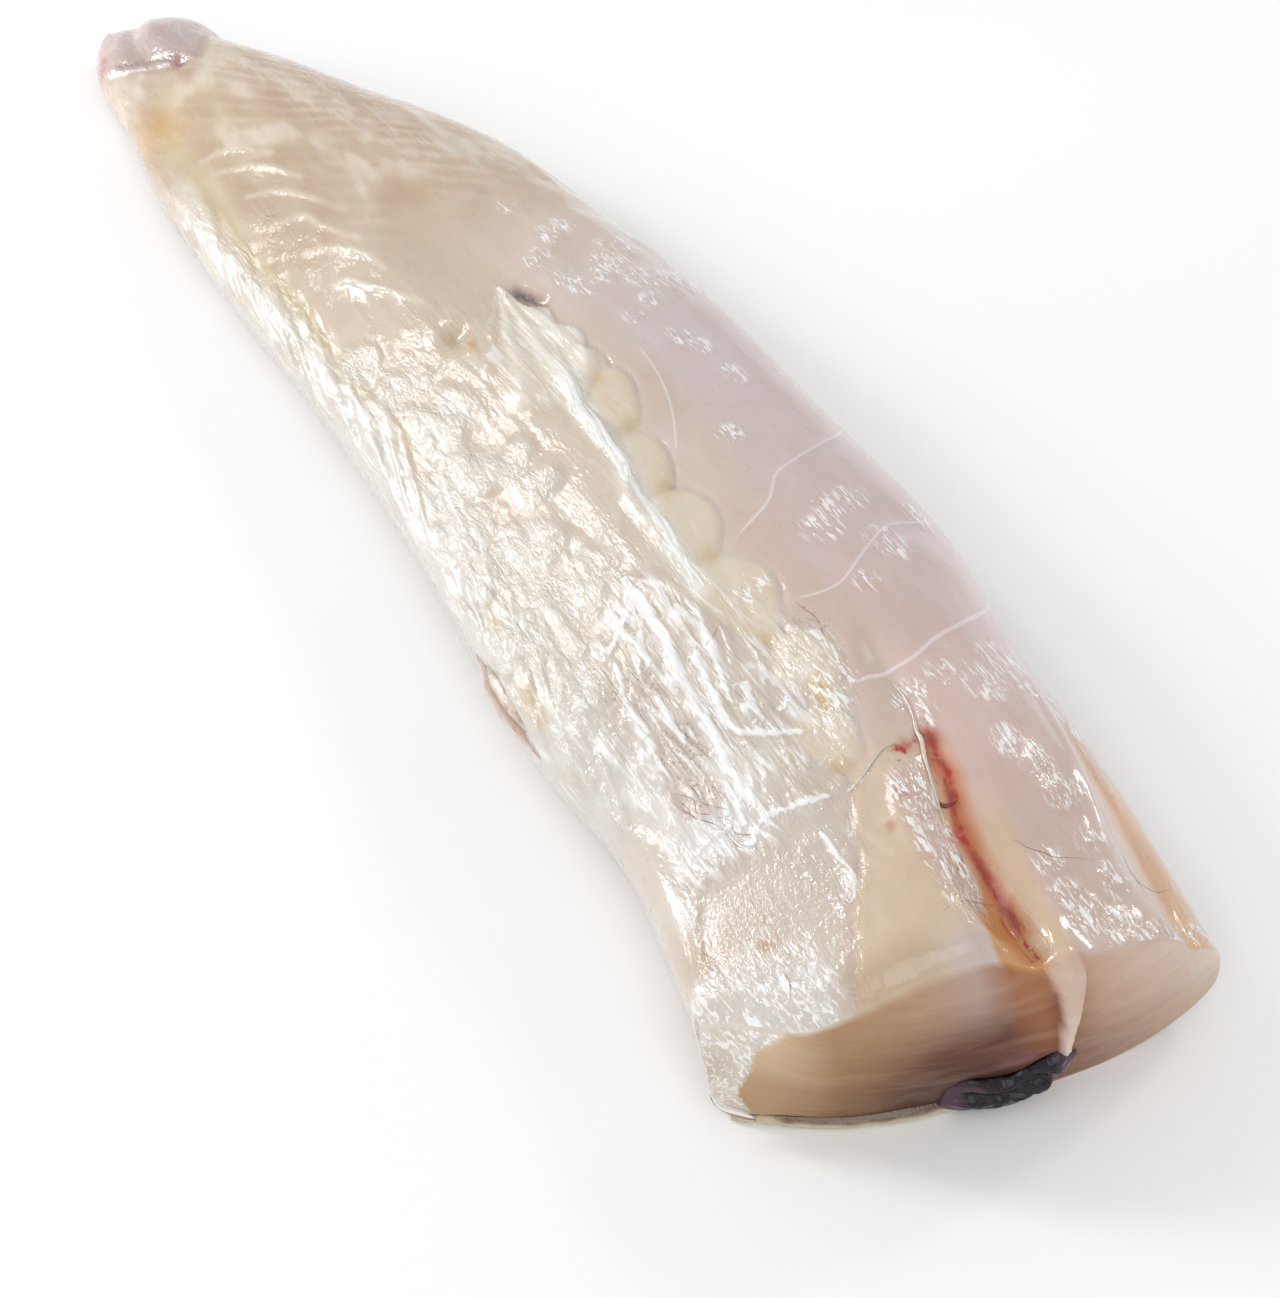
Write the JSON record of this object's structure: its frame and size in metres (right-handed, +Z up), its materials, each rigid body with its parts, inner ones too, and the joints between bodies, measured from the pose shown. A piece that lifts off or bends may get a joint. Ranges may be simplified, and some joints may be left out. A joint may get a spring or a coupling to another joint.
{
  "type": "monkfish fillet",
  "caption": "Raw skinned monkfish tail fillet, long and tapering to a blunt tip, with a grooved thick cut end, lying flat with its bone side up.",
  "frame": {"origin": "on the surface the fillet lies on, under the middle of its bounding box", "axes": "+X along the fillet from the tail tip to the cut end, +Y across it to the smooth outer lobe, +Z up"},
  "size_m": [0.332, 0.1026, 0.0399],
  "materials": {
    "flesh": "wet raw fish flesh, cream to pink, glossy with moisture"
  },
  "bodies": {
    "root": {"fillet": "flesh"}
  },
  "joints": []
}
